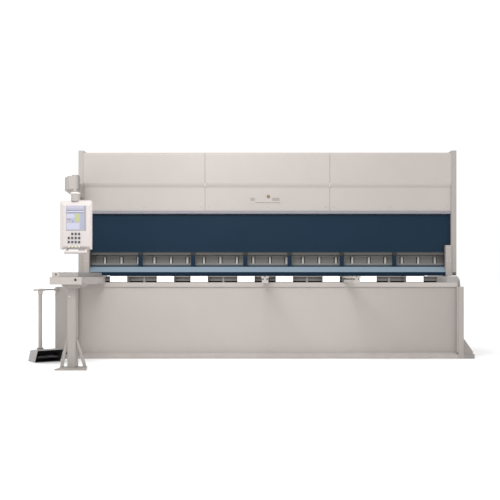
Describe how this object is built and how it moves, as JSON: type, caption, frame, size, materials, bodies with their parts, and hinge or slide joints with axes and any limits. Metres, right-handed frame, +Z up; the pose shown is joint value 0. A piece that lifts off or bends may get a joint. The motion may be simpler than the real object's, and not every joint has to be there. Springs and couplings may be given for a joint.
{
  "type": "hydraulic sheet metal shear",
  "caption": "Hydraulic guillotine shear for sheet metal with windowed hold-down beam, finger guard, support arms, back gauge, swing-arm control panel and foot pedal.",
  "frame": {"origin": "on the floor under the middle of the cutting plane, on the underside of the bed frame's base flange", "axes": "+X along the blades to the operator's right, +Y away from the operator towards the back gauge, +Z up"},
  "size_m": [5.0585, 2.887, 2.45],
  "materials": {
    "light_grey_paint": "satin powder coat",
    "dark_blue_paint": "satin powder coat",
    "light_blue_paint": "satin powder coat",
    "white_paint": "satin powder coat",
    "grey_paint": "satin powder coat",
    "dark_grey_paint": "semi-matt machine enamel",
    "machined_steel": "milled and oiled",
    "blade_steel": "ground",
    "panel_plastic": "smooth moulded",
    "button_plastic": "fine matt",
    "black_plastic": "fine matt",
    "black_paint": "ribbed, semi-matt"
  },
  "bodies": {
    "machine_frame": {"left_side_frame": "light_grey_paint", "right_side_frame": "light_grey_paint", "bed_frame": "light_grey_paint", "bed_front_panel": "light_grey_paint", "bed_top_plate": "light_grey_paint", "table_top": "grey_paint", "table_block_1": "white_paint", "table_block_2": "white_paint", "table_block_3": "white_paint", "table_block_4": "white_paint", "table_block_5": "white_paint", "table_block_6": "white_paint", "table_block_7": "white_paint", "table_block_8": "white_paint", "lower_blade": "blade_steel", "hold_down_beam": "dark_blue_paint", "finger_guard": "light_blue_paint", "left_end_cover": "light_grey_paint", "right_end_cover": "light_grey_paint", "top_cover_left": "light_grey_paint", "top_cover_centre": "light_grey_paint", "top_cover_right": "light_grey_paint", "rear_tie_beam": "light_grey_paint", "oil_tank": "light_grey_paint", "pump_motor": "dark_grey_paint", "scrap_chute": "grey_paint", "cylinder_left": "grey_paint", "cylinder_right": "grey_paint", "support_arm_centre": "light_grey_paint", "support_arm_right": "light_grey_paint", "squaring_arm": "light_grey_paint", "squaring_fence": "light_grey_paint", "arm_top_rail": "grey_paint", "support_leg": "light_grey_paint", "electrical_cabinet": "light_grey_paint", "pedal_hood": "grey_paint", "pedal_pole": "light_grey_paint"},
    "blade_beam": {"blade_beam": "dark_grey_paint", "upper_blade": "blade_steel", "gauge_arm_left": "machined_steel", "gauge_arm_right": "machined_steel"},
    "hold_down_clamps": {"hold_down_clamps": "grey_paint"},
    "back_gauge": {"back_gauge_bar": "grey_paint"},
    "gauge_drive": {"gauge_drive_shaft": "machined_steel"},
    "control_boom": {"control_boom": "light_grey_paint"},
    "control_panel": {"control_panel": "panel_plastic"},
    "pedal_tread": {"pedal_tread": "black_paint"},
    "cabinet_door": {"cabinet_door": "light_grey_paint"},
    "main_switch": {"main_switch": "black_plastic"},
    "button_1_2": {"button_1_2": "button_plastic"},
    "button_1_3": {"button_1_3": "button_plastic"},
    "button_1_4": {"button_1_4": "button_plastic"},
    "button_2_1": {"button_2_1": "button_plastic"},
    "button_2_2": {"button_2_2": "button_plastic"},
    "button_2_3": {"button_2_3": "button_plastic"},
    "button_2_4": {"button_2_4": "button_plastic"},
    "button_3_1": {"button_3_1": "button_plastic"},
    "button_3_2": {"button_3_2": "button_plastic"},
    "button_3_3": {"button_3_3": "button_plastic"},
    "button_3_4": {"button_3_4": "button_plastic"}
  },
  "joints": [
    {"name": "blade_stroke", "type": "slide", "parent": "machine_frame", "child": "blade_beam", "axis": [0, 0, -1], "range_m": [0, 0.15]},
    {"name": "clamp_stroke", "type": "slide", "parent": "machine_frame", "child": "hold_down_clamps", "axis": [0, 0, -1], "range_m": [0, 0.021], "stiffness_N_per_m": 30000, "springref_m": -0.09},
    {"name": "gauge_travel", "type": "slide", "parent": "blade_beam", "child": "back_gauge", "axis": [0, 1, 0], "range_m": [0, 0.7]},
    {"name": "gauge_drive_turn", "type": "hinge", "parent": "back_gauge", "child": "gauge_drive", "pos_m": [0, 0.19, 1.271], "axis": [1, 0, 0], "continuous": true},
    {"name": "boom_swing", "type": "hinge", "parent": "machine_frame", "child": "control_boom", "pos_m": [-2.225, -0.31, 1.92], "axis": [0, 0, 1], "range_deg": [-75, 60]},
    {"name": "panel_swivel", "type": "hinge", "parent": "control_boom", "child": "control_panel", "pos_m": [-2.035, -1.3, 1.83], "axis": [0, 0, 1], "range_deg": [-90, 90]},
    {"name": "pedal_press", "type": "hinge", "parent": "machine_frame", "child": "pedal_tread", "pos_m": [-2.52741, -0.80185, 0.052], "axis": [0.8192, 0.5736, 0], "range_deg": [0, 9], "stiffness_Nm_per_rad": 45, "springref_deg": -20.05},
    {"name": "door_swing", "type": "hinge", "parent": "machine_frame", "child": "cabinet_door", "pos_m": [-2.437, 0.304, 0.45], "axis": [0, 0, 1], "range_deg": [-110, 0]},
    {"name": "main_switch_turn", "type": "hinge", "parent": "cabinet_door", "child": "main_switch", "pos_m": [-2.46, -0.42, 0.62], "axis": [1, 0, 0], "range_deg": [0, 90]},
    {"name": "button_1_2_press", "type": "slide", "parent": "control_panel", "child": "button_1_2", "axis": [0, 1, 0], "range_m": [0, 0.004], "stiffness_N_per_m": 400, "springref_m": -0.004},
    {"name": "button_1_3_press", "type": "slide", "parent": "control_panel", "child": "button_1_3", "axis": [0, 1, 0], "range_m": [0, 0.004], "stiffness_N_per_m": 400, "springref_m": -0.004},
    {"name": "button_1_4_press", "type": "slide", "parent": "control_panel", "child": "button_1_4", "axis": [0, 1, 0], "range_m": [0, 0.004], "stiffness_N_per_m": 400, "springref_m": -0.004},
    {"name": "button_2_1_press", "type": "slide", "parent": "control_panel", "child": "button_2_1", "axis": [0, 1, 0], "range_m": [0, 0.004], "stiffness_N_per_m": 400, "springref_m": -0.004},
    {"name": "button_2_2_press", "type": "slide", "parent": "control_panel", "child": "button_2_2", "axis": [0, 1, 0], "range_m": [0, 0.004], "stiffness_N_per_m": 400, "springref_m": -0.004},
    {"name": "button_2_3_press", "type": "slide", "parent": "control_panel", "child": "button_2_3", "axis": [0, 1, 0], "range_m": [0, 0.004], "stiffness_N_per_m": 400, "springref_m": -0.004},
    {"name": "button_2_4_press", "type": "slide", "parent": "control_panel", "child": "button_2_4", "axis": [0, 1, 0], "range_m": [0, 0.004], "stiffness_N_per_m": 400, "springref_m": -0.004},
    {"name": "button_3_1_press", "type": "slide", "parent": "control_panel", "child": "button_3_1", "axis": [0, 1, 0], "range_m": [0, 0.004], "stiffness_N_per_m": 400, "springref_m": -0.004},
    {"name": "button_3_2_press", "type": "slide", "parent": "control_panel", "child": "button_3_2", "axis": [0, 1, 0], "range_m": [0, 0.004], "stiffness_N_per_m": 400, "springref_m": -0.004},
    {"name": "button_3_3_press", "type": "slide", "parent": "control_panel", "child": "button_3_3", "axis": [0, 1, 0], "range_m": [0, 0.004], "stiffness_N_per_m": 400, "springref_m": -0.004},
    {"name": "button_3_4_press", "type": "slide", "parent": "control_panel", "child": "button_3_4", "axis": [0, 1, 0], "range_m": [0, 0.004], "stiffness_N_per_m": 400, "springref_m": -0.004}
  ],
  "couplings": [
    {"joint": "gauge_drive_turn", "follows": "gauge_travel", "rad_per_m": -25}
  ]
}
